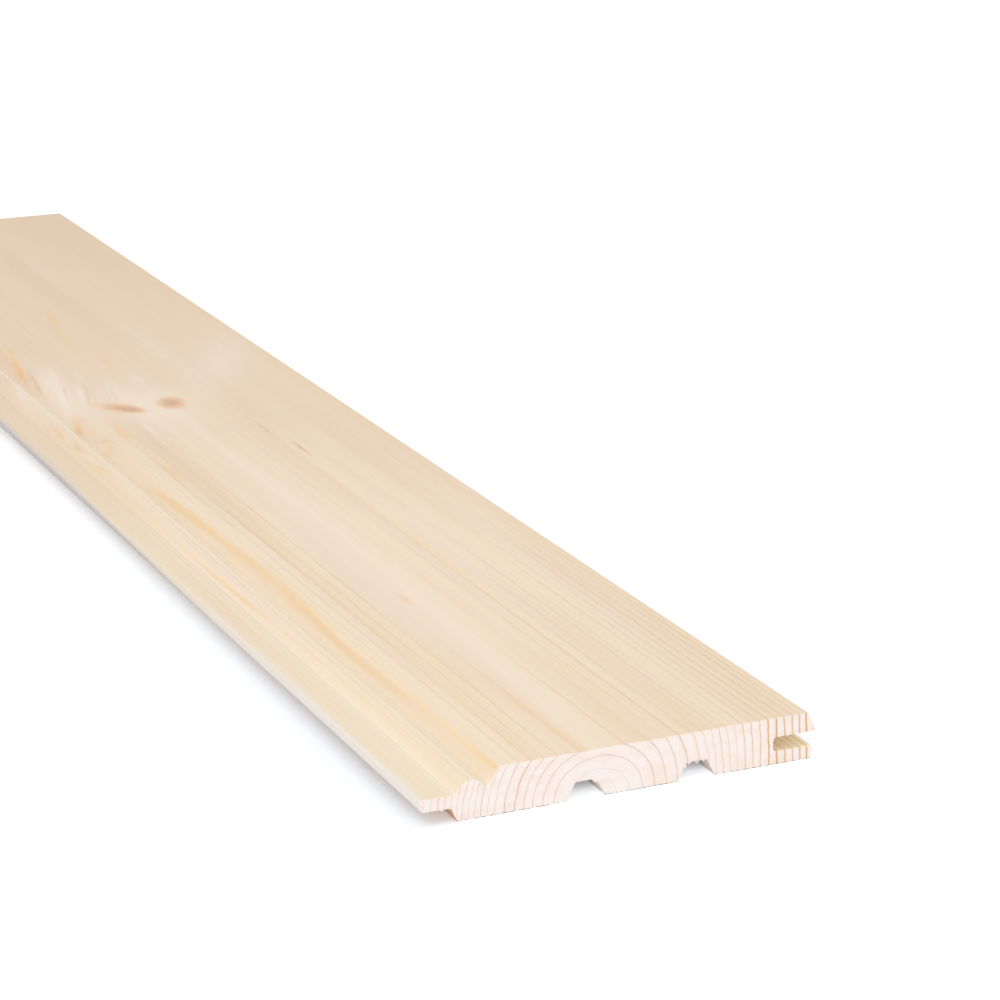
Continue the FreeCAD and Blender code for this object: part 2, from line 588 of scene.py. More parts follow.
@dataclass(frozen=True)
class Resin:
    """Yellow resin streaks that run along the bevel and the bead.

    Each path is a curve of (distance from the near end, distance from the tongue's tip).
    """

    bevel_path: tuple = ((0.0, 22.6), (50.0, 22.3), (105.0, 21.6), (150.0, 22.5), (212.0, 22.3),
                         (262.0, 21.6), (300.0, 20.7))
    bead_path: tuple = ((0.0, 12.9), (80.0, 12.6), (150.0, 11.6), (200.0, 11.1), (300.0, 12.2))
    path_length: float = 300.0
    path_reach: float = 25.0
    core: float = 0.05
    waves: float = 0.03
    sway: Grain = Grain((1.0, 1.0, 1.0), 4.0, depth=0.8)
    bevel_sway: float = 0.6
    bead_sway: float = 0.3
    breadth: Grain = Grain((1.3, 1.3, 1.3), 3.0)
    breadth_from: tuple = (0.0, 5.2, 0.0)
    breadths: tuple = (1.1, 0.3)
    widening: Fade = Fade(ALONG, 50.0, 130.0, 1.0, 1.25)
    on_bevel: tuple = (Fade(ALONG, 300.0, 265.0), Fade(UP, 8.0, 9.5))
    near_force: Fade = Fade(ALONG, 45.0, 5.0)
    far_force: Fade = Fade(ALONG, 60.0, 150.0, 0.55, 0.95)
    spot: tuple = (Fade(ALONG, 140.0, 165.0), Fade(ALONG, 215.0, 195.0))
    spot_breadths: tuple = (0.35, 0.4)
    spot_forces: tuple = (0.6, 0.35)
    on_bead: tuple = (Fade(UP, 8.4, 9.0), Fade(ALONG, 300.0, 215.0))

    def streak(self, sheet: Sheet, parts: tuple, path: tuple, sway: Value, breadth: Value) -> Socket:
        """Return the strength of a streak of half a breadth that sways about a path."""
        on_path = sheet.curve(parts[ALONG.value], path, self.path_length, self.path_reach)
        off_path = sheet.apart(parts[ACROSS.value], sheet.math("ADD", on_path, sway))
        return sheet.ramp(off_path, breadth, self.core)

    def build(self) -> bpy.types.NodeTree:
        """Make the node group.

        Returns:
            The group, with the strength of the resin's stain.
        """
        sheet, given, made = Group("resin", {"Place": "Vector"}, ("Stain",)).open()
        parts = sheet.split(given.outputs["Place"])
        along = sheet.join(sheet.product(parts[ALONG.value], self.waves))
        sway = self.sway.swing(sheet, along)
        uneven = self.breadth.noise(sheet, sheet.vector("ADD", along, self.breadth_from))
        breadth = sheet.math("MULTIPLY_ADD", uneven, *self.breadths)
        breadth = sheet.product(breadth, self.widening.mask(sheet, parts))
        band = self.streak(sheet, parts, self.bevel_path, sheet.product(sway, self.bevel_sway), breadth)
        force = sheet.math("MAXIMUM", self.near_force.mask(sheet, parts), self.far_force.mask(sheet, parts))
        bevel = sheet.product(band, meeting(sheet, parts, self.on_bevel), force)
        spot = meeting(sheet, parts, self.spot)
        breadth = sheet.math("MULTIPLY_ADD", spot, *self.spot_breadths)
        thread = self.streak(sheet, parts, self.bead_path, sheet.product(sway, self.bead_sway), breadth)
        force = sheet.math("MULTIPLY_ADD", spot, *self.spot_forces)
        bead = sheet.product(thread, meeting(sheet, parts, self.on_bead), force)
        sheet.feed(made.inputs["Stain"], sheet.math("MAXIMUM", bevel, bead))
        return sheet.tree


@dataclass(frozen=True)
class Mark:
    """One soft mark on the planed wood.

    Sizes are in bench millimetres: its middle, half its length and breadth, how far it leans from
    the board's length towards the groove in degrees, and how strong it is.
    """

    x: float
    y: float
    length: float
    breadth: float
    lean: float = 0.0
    strength: float = 1.0

    def mask(self, sheet: Sheet, place: Socket) -> Socket:
        """Return the mark's strength at each point.

        Args:
            sheet: the group's nodes.
            place: the point in bench millimetres.

        Returns:
            The strength.
        """
        turn = math.radians(self.lean)
        offset = sheet.vector("SUBTRACT", place, (self.x, self.y, 0.0))
        along = (math.sin(turn) / self.length, math.cos(turn) / self.length, 0.0)
        across = (math.cos(turn) / self.breadth, -math.sin(turn) / self.breadth, 0.0)
        far = sheet.math("POWER", sheet.vector("DOT_PRODUCT", offset, along), 2.0)
        wide = sheet.vector("DOT_PRODUCT", offset, across)
        square = sheet.math("MULTIPLY_ADD", wide, wide, far)
        return sheet.product(sheet.math("EXPONENT", sheet.product(square, -1.0)), self.strength)


@dataclass(frozen=True)
class Marks:
    """The flecks of resin, brown specks and broad pale or warm patches of this board's face."""

    flecks: tuple = (
        Mark(52.5, 134.0, 4.5, 0.9, 0.0, 0.8), Mark(30.5, 289.0, 10.0, 1.3, -1.5, 0.8),
        Mark(30.0, 346.0, 11.0, 1.7, 2.0, 0.8), Mark(55.5, 441.0, 11.0, 1.6, 3.0, 0.6),
        Mark(55.5, 516.0, 14.0, 1.7, 10.0, 0.7), Mark(21.5, 334.0, 4.0, 2.2, 0.0, 0.35),
        Mark(20.7, 368.0, 7.5, 1.0, 4.0, 0.8), Mark(21.7, 445.0, 11.0, 0.6, 4.0, 0.9),
        Mark(23.8, 464.0, 12.0, 0.9, 9.0, 0.9), Mark(12.3, 312.0, 10.0, 0.5, -2.0, 0.7),
        Mark(12.4, 366.0, 7.5, 0.6, 2.0, 0.9), Mark(50.0, 480.0, 20.0, 1.8, 6.0, 0.3),
        Mark(48.0, 16.0, 55.0, 1.7, -2.0, 0.4),
    )
    specks: tuple = (
        Mark(82.2, 299.0, 8.0, 0.6, 1.5, 0.9), Mark(78.8, 328.0, 12.0, 0.5, -1.0, 0.5),
        Mark(12.6, 343.0, 6.0, 0.6, 0.0, 0.5), Mark(32.4, 393.0, 12.0, 0.9, 14.0, 0.35),
        Mark(36.5, 411.0, 10.0, 0.8, 9.0, 0.3), Mark(21.9, 425.0, 13.0, 0.5, 5.0, 0.6),
        Mark(27.0, 404.0, 11.0, 0.5, 13.0, 0.4), Mark(43.5, 396.0, 12.0, 0.8, 10.0, 0.2),
    )
    pale: tuple = (
        Mark(53.0, 165.0, 190.0, 8.5, 0.0, 0.45), Mark(97.0, 425.0, 42.0, 11.0, 24.0, 0.5),
        Mark(80.0, 450.0, 50.0, 5.0, 0.0, 0.35), Mark(76.5, 590.0, 50.0, 4.0, 0.0, 0.25),
        Mark(40.0, 337.0, 16.0, 1.0, 2.0, 0.7), Mark(100.0, 60.0, 90.0, 14.0, 0.0, 0.25),
        Mark(24.0, 396.0, 20.0, 1.5, 11.0, 0.9), Mark(31.7, 400.0, 14.0, 1.4, 10.0, 0.8),
        Mark(44.8, 402.0, 12.0, 2.0, 8.0, 0.5), Mark(27.5, 424.0, 22.0, 4.0, 12.0, 0.7),
        Mark(15.0, 425.0, 20.0, 2.0, 8.0, 0.7), Mark(57.9, 411.0, 8.0, 2.6, 8.0, 0.4),
        Mark(19.5, 404.0, 17.0, 0.7, 5.0, 0.8), Mark(38.0, 420.0, 14.0, 1.1, 9.0, 0.6),
    )
    warm: tuple = (
        Mark(104.0, 300.0, 105.0, 17.0, 0.0, 0.5), Mark(82.5, 364.0, 48.0, 5.5, 3.0, 0.6),
        Mark(108.0, 680.0, 100.0, 24.0, 0.0, 0.85), Mark(35.0, 285.0, 75.0, 5.5, 1.0, 0.6),
        Mark(36.5, 335.0, 36.0, 5.0, 1.0, 0.5), Mark(70.0, 590.0, 100.0, 7.5, 0.0, 0.85),
        Mark(106.0, 40.0, 110.0, 24.0, 0.0, 0.45), Mark(68.0, 15.0, 80.0, 17.0, 0.0, 0.25),
    )
    shake: Grain = Grain((0.5, 0.06, 0.5), 3.0, depth=2.4)
    upper_side: Fade = Fade(UP, 6.5, 7.5)

    def build(self) -> bpy.types.NodeTree:
        """Make the node group.

        Returns:
            The group, with the strength of each kind of mark on the upper side of the board.
        """
        sheet, given, made = Group("marks", {"Place": "Vector"}, ("Flecks", "Specks", "Pale", "Warm")).open()
        place = given.outputs["Place"]
        shaken = sheet.vector("ADD", place, sheet.join(self.shake.swing(sheet, place)))
        upper = self.upper_side.mask(sheet, sheet.split(place))
        kinds = {"Flecks": self.flecks, "Specks": self.specks, "Pale": self.pale, "Warm": self.warm}
        for name, marks in kinds.items():
            sums = sheet.total(*(mark.mask(sheet, shaken) for mark in marks))
            sheet.feed(made.inputs[name], sheet.product(sheet.math("MINIMUM", sums, 1.0), upper))
        return sheet.tree


@dataclass(frozen=True)
class Effects:
    """The node groups that the wood's materials share."""

    knots: bpy.types.NodeTree
    rings: bpy.types.NodeTree
    resin: bpy.types.NodeTree
    marks: bpy.types.NodeTree

    @staticmethod
    def make() -> "Effects":
        """Build each group once."""
        return Effects(Knots().build(), GrowthRings().build(), Resin().build(), Marks().build())

    @staticmethod
    def use(sheet: Sheet, tree: bpy.types.NodeTree, **given: Value) -> dict:
        """Place a group in a material, give it its inputs, and return its outputs by name."""
        node = sheet.add("Group", node_tree=tree)
        sheet.give(node, given)
        return {socket.name: socket for socket in node.outputs}


@dataclass(frozen=True)
class Wood:
    """What both cuts of the wood share: its rings and knots, and the fine fibres of its surface."""

    name: str
    fibres: Grain
    fibre_tint: tuple
    fibre_shade: float
    ring_breadth: float
    roughness: float
    gloss: float
    bump: float
    bump_depth: float

    SHADE_FROM = -0.03
    ROUGH_SPREAD = 0.2

    def height(self, sheet: Sheet, fibre: Socket, rings: dict) -> Socket:
        """Return the height that the bump is made from."""
        return fibre

    def colours(self, sheet: Sheet, place: Socket, effects: Effects, rings: dict, knots: dict) -> Socket:
        """Return the colour before the fibres darken it; each cut has its own."""
        raise NotImplementedError

    def build(self, effects: Effects) -> bpy.types.Material:
        """Make the material.

        Args:
            effects: the groups that both cuts share.

        Returns:
            The material.
        """
        material = bpy.data.materials.new(self.name)
        material.use_nodes = True
        sheet = Sheet(material.node_tree)
        shader = material.node_tree.nodes["Principled BSDF"]
        place = Bench().place(sheet)
        knots = effects.use(sheet, effects.knots, Place=place)
        rings = effects.use(sheet, effects.rings, Place=place, Push=knots["Push"], Breadth=self.ring_breadth)
        fibre = self.fibres.noise(sheet, place)
        shade = sheet.math("MULTIPLY_ADD", fibre, self.fibre_shade, self.SHADE_FROM)
        wood = self.colours(sheet, place, effects, rings, knots)
        rough = sheet.math("MULTIPLY_ADD", fibre, self.ROUGH_SPREAD, self.roughness - self.ROUGH_SPREAD / 2)
        relief = sheet.add("Bump")
        height = self.height(sheet, fibre, rings)
        sheet.give(relief, {"Strength": self.bump, "Distance": self.bump_depth, "Height": height})
        sheet.give(shader, {
            "Base Color": sheet.blend(shade, wood, self.fibre_tint, "MULTIPLY"),
            "Roughness": rough,
            "Specular IOR Level": self.gloss,
            "Normal": relief.outputs[0],
        })
        return material


@dataclass(frozen=True)
class PlanedWood(Wood):
    """Bare softwood off the moulder: pale, with fine straight lines, two knots and some resin."""

    name: str = "planed_softwood"
    fibres: Grain = Grain((2.6, 0.035, 2.6), 4.0, 0.6)
    fibre_tint: tuple = (0.6, 0.46, 0.33, 1.0)
    fibre_shade: float = 0.1
    ring_breadth: float = 0.02
    roughness: float = 0.5
    gloss: float = 0.3
    bump: float = 0.25
    bump_depth: float = 0.00005

    clouds: Grain = Grain((0.1, 0.004, 0.1), 3.0)
    cloudy: tuple = (0.38, 0.64)
    bands: Grain = Grain((0.5, 0.0035, 0.5), 2.0)
    yellow_bands: tuple = (0.5, 0.7, 0.0, 0.45)
    pink_bands: tuple = (0.5, 0.32, 0.0, 0.5)
    in_groove: tuple = (Fade(ACROSS, 107.2, 107.6), Fade(UP, 3.4, 3.8), Fade(UP, 8.6, 8.2))

    LATE = (216, 176, 122)
    # Pale colour laid as painted light in the valley, at the tongue's root and on the bead's flank, where
    # shade falls.
    PAINTED_LIGHT_PALE = (251, 241, 222)
    SWIRLED = (248, 236, 222)
    pale: tuple = (245, 227, 202)
    warm: Coat = Coat((240, 218, 189))
    yellow: Coat = Coat((245, 226, 188))
    pink: Coat = Coat((240, 220, 206))
    # Painted shade: darker and browner towards the far end, as the light falls off along the board.
    far: Coat = Coat((234, 208, 180), 0.8, (Fade(ALONG, 200.0, 520.0),))
    toast: Coat = Coat((231, 203, 174), 0.75)
    swirl: Coat = Coat(SWIRLED, 0.7)
    # Painted light: lightens the groove's walls, which lie in shade under the upper lip.
    inner: Coat = Coat((255, 240, 212), 0.95)
    # Painted light: lightens the low bevel and the valley beside the bead, where shade falls.
    low_bevel_painted_light: Coat = Coat(PAINTED_LIGHT_PALE, 0.9, (
        Fade(ACROSS, 2.8, 0.8, middle=19.4), Fade(UP, 7.4, 8.0), Fade(UP, 12.5, 9.0),
        Fade(ALONG, 150.0, 300.0, 1.0, 0.75),
    ))
    # Painted light: lightens the tongue's top at its root, in the bead's shade, most near the near end.
    tongue_root_painted_light: Coat = Coat(PAINTED_LIGHT_PALE, 1.0, (
        Fade(ACROSS, 12.0, 9.0), Fade(UP, 7.2, 7.8), Fade(ACROSS, 3.5, 0.5, 0.22, 0.5, middle=10.0),
        Fade(ALONG, 30.0, 160.0, 1.0, 0.35),
    ))
    # Painted light: lightens the bead's flank towards the valley, which lies in shade.
    bead_flank_painted_light: Coat = Coat(PAINTED_LIGHT_PALE, 0.6, (Fade(ACROSS, 1.9, 0.5, middle=16.6), Fade(UP, 8.6, 9.6)))
    # Painted light: lightens the relief grooves and the back round them, where shade falls.
    relief: Coat = Coat((253, 242, 232), 0.85, (Fade(UP, 5.8, 5.4), Fade(ACROSS, 27.0, 25.0, middle=66.3)))
    season: Coat = Coat(LATE, 0.22)
    late: Coat = Coat(LATE)
    resin: Coat = Coat((242, 210, 160), 0.8)
    halo: Coat = Coat(SWIRLED, 0.5)
    fleck: Coat = Coat((241, 200, 145), 0.8)
    speck: Coat = Coat((212, 170, 130), 0.8)
    knot_rim: Coat = Coat((240, 199, 150), 0.7)
    knot: Coat = Coat((215, 169, 139), 0.9)
    # A darker orange-brown on the shoulder and the underside of the tongue.
    under_tongue_orange: Coat = Coat((212, 160, 112), 0.8, (Fade(UP, 4.5, 4.0), Fade(ACROSS, 11.6, 11.0)))
    # Painted shadow: a dark line along the bottom arris at both ends, where the board meets the floor.
    bottom_arris_painted_shadow: Coat = Coat((132, 116, 106), 1.0, (Fade(ALONG, 354.7, 354.85, middle=355.0), Fade(UP, 0.6, 0.3)))
    # Painted highlight: the tongue's nose paler and greyer, strongest near the near end, as if lit from the
    # left.
    nose: Coat = Coat((237, 231, 223), 0.75, (Fade(ACROSS, 1.4, 0.2), Fade(ALONG, 60.0, 240.0, 1.0, 0.25)))

    groove_side: Fade = Fade(ALONG, 30.0, 240.0, 0.9, 0.14)
    tongue_side: tuple = (Fade(ALONG, 160.0, 420.0, 1.0, 0.3), Fade(ALONG, 0.0, 200.0, 0.7, 1.0))
    sides: Fade = Fade(ACROSS, 60.0, 84.0)
    clear: tuple = (Fade(ACROSS, 17.0, 11.0, middle=57.5), Fade(ALONG, 30.0, 110.0, 0.3, 0.85))
    fine: Grain = Grain((0.35, 0.012, 0.35), 2.0)
    fine_bands: tuple = (0.3, 0.65, 0.4, 1.1)
    worn: Fade = Fade(ACROSS, 9.0, 21.0, 0.25, 1.0)

    # Painted shade on the underside of the tongue's nose: darker grey near the end, paler grey further on,
    # reaching higher and softer along the board, and fading out before the far end.
    painted_shade_grey: tuple = (154, 152, 156)
    painted_shade_far: Coat = Coat((184, 178, 180), 1.0, (Fade(ALONG, 120.0, 280.0),))
    shade_level: Fade = Fade(ALONG, 140.0, 360.0, 4.9, 6.9)
    shade_softness: Fade = Fade(ALONG, 140.0, 300.0, 0.7, 1.9)
    shade_core: float = -0.9
    under_nose: tuple = (Fade(ACROSS, 2.5, 1.0), Fade(ALONG, 560.0, 420.0, 0.0, 0.85))

    def height(self, sheet: Sheet, fibre: Socket, rings: dict) -> Socket:
        """Return the fibres with the hard late wood standing over them."""
        return sheet.math("ADD", fibre, rings["Late Wood"])

    def rings_seen(self, sheet: Sheet, place: Socket, parts: tuple) -> Socket:
        """Work out how plainly the rings show on the planed sides.

        They show most at the near end and the groove side, and hardly at all in the clear wood
        over the pith.

        Args:
            sheet: the material's nodes.
            place: the point in bench millimetres.
            parts: the three parts of that place.

        Returns:
            The strength at each point.
        """
        share = self.sides.mask(sheet, parts)
        tongue = meeting(sheet, parts, self.tongue_side)
        both = sheet.between(share, tongue, self.groove_side.mask(sheet, parts))
        fine = sheet.ramp(self.fine.noise(sheet, place), *self.fine_bands)
        unclear = sheet.math("SUBTRACT", 1.0, meeting(sheet, parts, self.clear))
        return sheet.product(both, fine, self.worn.mask(sheet, parts), unclear)

    def nose_painted_shade(self, sheet: Sheet, parts: tuple) -> tuple:
        """Work out the painted grey shade on the underside of the tongue's nose.

        Args:
            sheet: the material's nodes.
            parts: the three parts of the point's place.

        Returns:
            The shade's colour and its strength.
        """
        over = sheet.math("SUBTRACT", parts[UP.value], self.shade_level.mask(sheet, parts))
        below = sheet.ramp(over, self.shade_softness.mask(sheet, parts), self.shade_core)
        tone = self.painted_shade_far.over(sheet, colour(*self.painted_shade_grey), parts)
        return tone, sheet.product(below, meeting(sheet, parts, self.under_nose))

    def colours(self, sheet: Sheet, place: Socket, effects: Effects, rings: dict, knots: dict) -> Socket:
        """Lay every coat over the pale wood, in order, painted light and painted shade among them.

        Args:
            sheet: the material's nodes.
            place: the point in bench millimetres.
            effects: the shared groups.
            rings: the outputs of the growth rings.
            knots: the outputs of the knots.

        Returns:
            The colour before the fibres darken it.
        """
        parts = sheet.split(place)
        marks = effects.use(sheet, effects.marks, Place=place)
        stain = effects.use(sheet, effects.resin, Place=place)["Stain"]
        bands = self.bands.noise(sheet, place)
        grooved = meeting(sheet, parts, self.in_groove)
        seen = sheet.math("MAXIMUM", self.rings_seen(sheet, place, parts), grooved)
        wood = colour(*self.pale)
        for coat, *amounts in (
            (self.warm, sheet.ramp(self.clouds.noise(sheet, place), *self.cloudy)),
            (self.yellow, sheet.ramp(bands, *self.yellow_bands)),
            (self.pink, sheet.ramp(bands, *self.pink_bands)),
            # Painted shade towards the far end.
            (self.far,),
            (self.toast, marks["Warm"]),
            (self.swirl, marks["Pale"]),
            # Painted light in the groove, the valley, the tongue's root, the bead's flank and the relief
            # grooves.
            (self.inner, grooved),
            (self.low_bevel_painted_light,),
            (self.tongue_root_painted_light,),
            (self.bead_flank_painted_light,),
            (self.relief,),
            (self.season, rings["Season"], seen),
            (self.late, rings["Late Wood"], seen),
            (self.resin, stain),
            (self.halo, knots["Halo"]),
            (self.fleck, marks["Flecks"]),
            (self.speck, marks["Specks"]),
            (self.knot_rim, knots["Rim"]),
            (self.knot, knots["Heart"]),
            (self.under_tongue_orange,),
            (self.bottom_arris_painted_shadow,),
            # Painted highlight on the tongue's nose.
            (self.nose,),
        ):
            wood = coat.over(sheet, wood, parts, *amounts)
        # Painted shade on the underside of the tongue's nose goes over everything.
        tone, strength = self.nose_painted_shade(sheet, parts)
        return sheet.blend(strength, wood, tone)


@dataclass(frozen=True)
class SawnWood(Wood):
    """The board's cross-cut ends: pinkish white, with the rings as thin orange-brown arcs."""

    name: str = "sawn_softwood"
    fibres: Grain = Grain((3.2, 3.2, 3.2), 3.0, 0.65)
    fibre_tint: tuple = (0.6, 0.5, 0.42, 1.0)
    fibre_shade: float = 0.14
    ring_breadth: float = 0.13
    roughness: float = 0.75
    gloss: float = 0.2
    bump: float = 0.5
    bump_depth: float = 0.0001

    ORANGE = (222, 168, 120)
    pale: tuple = (246, 234, 227)
    warm: Coat = Coat((244, 228, 216))
    patches: Grain = Grain((0.12, 0.1, 0.3), 3.0)
    patchy: tuple = (0.4, 0.7)
    brown: tuple = (184, 146, 120)
    orange: Coat = Coat(ORANGE)
    hues: Grain = Grain((0.25, 0.1, 0.14), 2.0)
    orange_hues: tuple = (0.45, 0.75)
    orange_side: Fade = Fade(ACROSS, 55.0, 95.0, 0.0, 0.35)
    season: Coat = Coat(ORANGE, 0.1)
    contrast: Fade = Fade(ACROSS, 6.0, 24.0, 0.6875, 1.25)
    pit: Coat = Coat((150, 112, 86))
    pits: Grain = Grain((2.1, 2.1, 2.1), 2.0)
    pitted: tuple = (0.66, 0.74)

    def colours(self, sheet: Sheet, place: Socket, effects: Effects, rings: dict, knots: dict) -> Socket:
        """Lay the season, the late wood and the pits over the pale wood.

        Args:
            sheet: the material's nodes.
            place: the point in bench millimetres.
            effects: the shared groups; not used here.
            rings: the outputs of the growth rings.
            knots: the outputs of the knots; not used here.

        Returns:
            The colour before the pores darken it.
        """
        parts = sheet.split(place)
        patch = sheet.ramp(self.patches.noise(sheet, place), *self.patchy)
        hue = sheet.math("ADD", self.hues.noise(sheet, place), self.orange_side.mask(sheet, parts))
        line = self.orange.over(sheet, colour(*self.brown), parts, sheet.ramp(hue, *self.orange_hues))
        wood = self.warm.over(sheet, colour(*self.pale), parts, patch)
        wood = self.season.over(sheet, wood, parts, rings["Season"])
        wood = sheet.blend(sheet.product(rings["Late Wood"], self.contrast.mask(sheet, parts)), wood, line)
        pits = sheet.ramp(self.pits.noise(sheet, place), *self.pitted)
        return self.pit.over(sheet, wood, parts, pits, rings["Season"])


class Hands:
    """The modelling moves that every piece is made with, as at the keyboard."""

    MODES = {"verts": "VERT", "edges": "EDGE", "faces": "FACE"}

    @staticmethod
    def start() -> None:
        """Deselect everything."""
        bpy.ops.object.select_all(action="DESELECT")

    @staticmethod
    def pick(piece: bpy.types.Object, kind: str, test: Callable) -> int:
        """Select what passes a test in edit mode, and nothing else.

        Args:
            piece: the object that is being edited.
            kind: "verts", "edges" or "faces".
            test: says whether one of them is picked.

        Returns:
            How many were picked.
        """
        bpy.ops.mesh.select_mode(type=Hands.MODES[kind])
        bpy.ops.mesh.select_all(action="DESELECT")
        mesh = bmesh.from_edit_mesh(piece.data)
        picked = [element for element in getattr(mesh, kind) if test(element)]
        for element in picked:
            element.select_set(True)
        mesh.select_flush_mode()
        bmesh.update_edit_mesh(piece.data)
        return len(picked)

    @staticmethod
    def stretch(step: Vector) -> None:
        """Extrude what is selected along a step."""
        bpy.ops.mesh.extrude_region_move(TRANSFORM_OT_translate={"value": tuple(step)})


@dataclass
class BoardStock:
    """The whole board: its section is traced corner by corner, rounded and run out to length.

    Section places are (across, up) in metres from the tip of the tongue and from the back.
    """

    length: float = 0.710
    width: float = 0.121
    thickness: float = 0.014
    tongue_length: float = 0.010
    tongue_low: float = 0.0041
    tongue_high: float = 0.0079
    nose_back_radius: float = 0.0013
    nose_face_radius: float = 0.0006
    root_radius: float = 0.0003
    shoulder_root: float = 0.009
    shoulder_toe: float = 0.0109
    toe_radius: float = 0.0005
    bead_centre: tuple = (0.015, 0.0071)
    bead_radius: float = 0.0042
    valley: tuple = (0.0197, 0.008)
    valley_radius: float = 0.0007
    face_edge: float = 0.023
    face_radius: float = 0.0003
    lip_lean: float = 0.0028
    lip_tip: float = 0.0086
    lip_radius: float = 0.00015
    groove_low: float = 0.00385
    groove_high: float = 0.00815
    groove_end: float = 0.1075
    groove_radius: float = 0.0012
    back_lip: float = 0.1198
    back_lip_radius: float = 0.0007
    relief_middles: tuple = (0.0833, 0.0493)
    relief_mouth: float = 0.012
    relief_floor: float = 0.0062
    relief_depth: float = 0.0053
    mouth_radius: float = 0.0003
    floor_radius: float = 0.0004

    bead_steps: int = 28
    facet: float = 0.0001
    least_facets: int = 4
    strip: float = 0.0006
    smooth_deg: float = 24.0
    start_size: float = 0.001
    same_place: float = 0.00001
    double: float = 0.00002
    seam: float = 0.000002
    end_on: float = 0.9
    end_slack: float = 0.0003
    strip_corners: int = 4

    arris: float = 0.00012
    back_edge: float = 0.0003
    tear: float = 0.0001
    lip_tear: float = 0.00012
    lip_tear_from: float = 0.0016
    lip_tear_short: float = 0.0005
    lip_edge: float = 0.0002
    tear_seed: int = 17
    lip_seed: int = 9

    def tangent(self, outside: tuple, turn: int) -> Vector:
        """Return where a straight line from a point touches the bead.

        Args:
            outside: the point.
            turn: 1 or -1, for the side of the bead.

        Returns:
            The point on the bead.
        """
        centre = Vector(self.bead_centre)
        reach = Vector(outside) - centre
        bearing = math.atan2(reach.y, reach.x) + turn * math.acos(self.bead_radius / reach.length)
        return centre + Vector((math.cos(bearing), math.sin(bearing))) * self.bead_radius

    def corners(self) -> list:
        """List the corners from the bead's far side round to its near side.

        Returns:
            Each corner's place and radius.
        """
        foot = (self.tongue_length, self.tongue_high)
        listed = [
            (self.tangent(self.valley, 1), 0.0),
            (self.valley, self.valley_radius),
            ((self.face_edge, self.thickness), self.face_radius),
            ((self.width - self.lip_lean, self.thickness), self.face_radius),
            ((self.width, self.lip_tip), self.lip_radius),
            ((self.width, self.groove_high), self.lip_radius),
            ((self.groove_end, self.groove_high), self.groove_radius),
            ((self.groove_end, self.groove_low), self.groove_radius),
            ((self.back_lip, self.groove_low), self.lip_radius),
            ((self.back_lip, 0.0), self.back_lip_radius),
        ]
        for middle in self.relief_middles:
            listed += [
                ((middle + self.relief_mouth / 2, 0.0), self.mouth_radius),
                ((middle + self.relief_floor / 2, self.relief_depth), self.floor_radius),
                ((middle - self.relief_floor / 2, self.relief_depth), self.floor_radius),
                ((middle - self.relief_mouth / 2, 0.0), self.mouth_radius),
            ]
        listed += [
            ((self.shoulder_toe, 0.0), self.toe_radius),
            ((self.shoulder_root, self.tongue_low), self.root_radius),
            ((0.0, self.tongue_low), self.nose_back_radius),
            ((0.0, self.tongue_high), self.nose_face_radius),
            (foot, self.root_radius),
            (self.tangent(foot, -1), 0.0),
        ]
        return [(Vector(place), radius) for place, radius in listed]

    def stand(self, place: Vector) -> Vector:
        """Return a section place as a point of the near end in the part's frame."""
        return Vector((place[0] - self.width / 2, -self.length / 2, place[1]))

    def trace(self) -> None:
        """Draw the outline as a chain of edges, spin the bead, and close it with a face."""
        corners = self.corners()
        bpy.ops.mesh.merge(type="CENTER")
        for (here, _), (there, _) in zip(corners, corners[1:]):
            Hands.stretch(self.stand(there) - self.stand(here))
        last, first = corners[-1][0], corners[0][0]
        centre = Vector(self.bead_centre)
        bpy.ops.mesh.spin(
            steps=self.bead_steps, angle=(last - centre).angle(first - centre),
            center=tuple(self.stand(centre)), axis=(0.0, -1.0, 0.0), dupli=False,
        )
        bpy.ops.mesh.select_all(action="SELECT")
        bpy.ops.mesh.remove_doubles(threshold=self.double)
        bpy.ops.mesh.edge_face_add()

    def round_off(self, piece: bpy.types.Object) -> None:
        """Round each corner of the outline with its own radius.

        Args:
            piece: the board, in edit mode.
        """
        corners = self.corners()
        for (before, _), (here, radius), (after, _) in zip(corners, corners[1:], corners[2:]):
            back = (before - here).normalized()
            on = (after - here).normalized()
            run = radius / math.tan(back.angle(on) / 2)
            spot = self.stand(here)
            Hands.pick(piece, "verts", lambda v: (v.co - spot).length < self.same_place)
            facets = max(self.least_facets, round(radius / self.facet))
            bpy.ops.mesh.bevel(offset_type="OFFSET", offset=run, segments=facets, affect="VERTICES")

    def part_edges(self, piece: bpy.types.Object) -> None:
        """Halve the outline's long runs until each is short enough to tear on its own.

        Args:
            piece: the board, in edit mode.
        """
        bpy.ops.mesh.select_mode(type="FACE")
        bpy.ops.mesh.select_all(action="SELECT")
        bpy.ops.mesh.delete(type="ONLY_FACE")
        while Hands.pick(piece, "edges", lambda e: e.calc_length() > self.strip):
            bpy.ops.mesh.subdivide(number_cuts=1)
        bpy.ops.mesh.select_all(action="SELECT")
        bpy.ops.mesh.edge_face_add()

    def tear_end(self, piece: bpy.types.Object, end: int) -> None:
        """Ease one sawn end's arris, and leave it ragged, most of all along the back.

        Args:
            piece: the board, in edit mode.
            end: -1 for the near end and 1 for the far end.
        """
        plane = end * self.length / 2
        root = self.stand(Vector((self.groove_end + self.lip_tear_from, self.groove_low)))
        tip = self.stand(Vector((self.back_lip - self.lip_tear_short, self.groove_low)))

        def level(vertex: bmesh.types.BMVert, slack: float) -> bool:
            """Say whether a vertex is in the end's plane."""
            return abs(vertex.co.y - plane) < slack

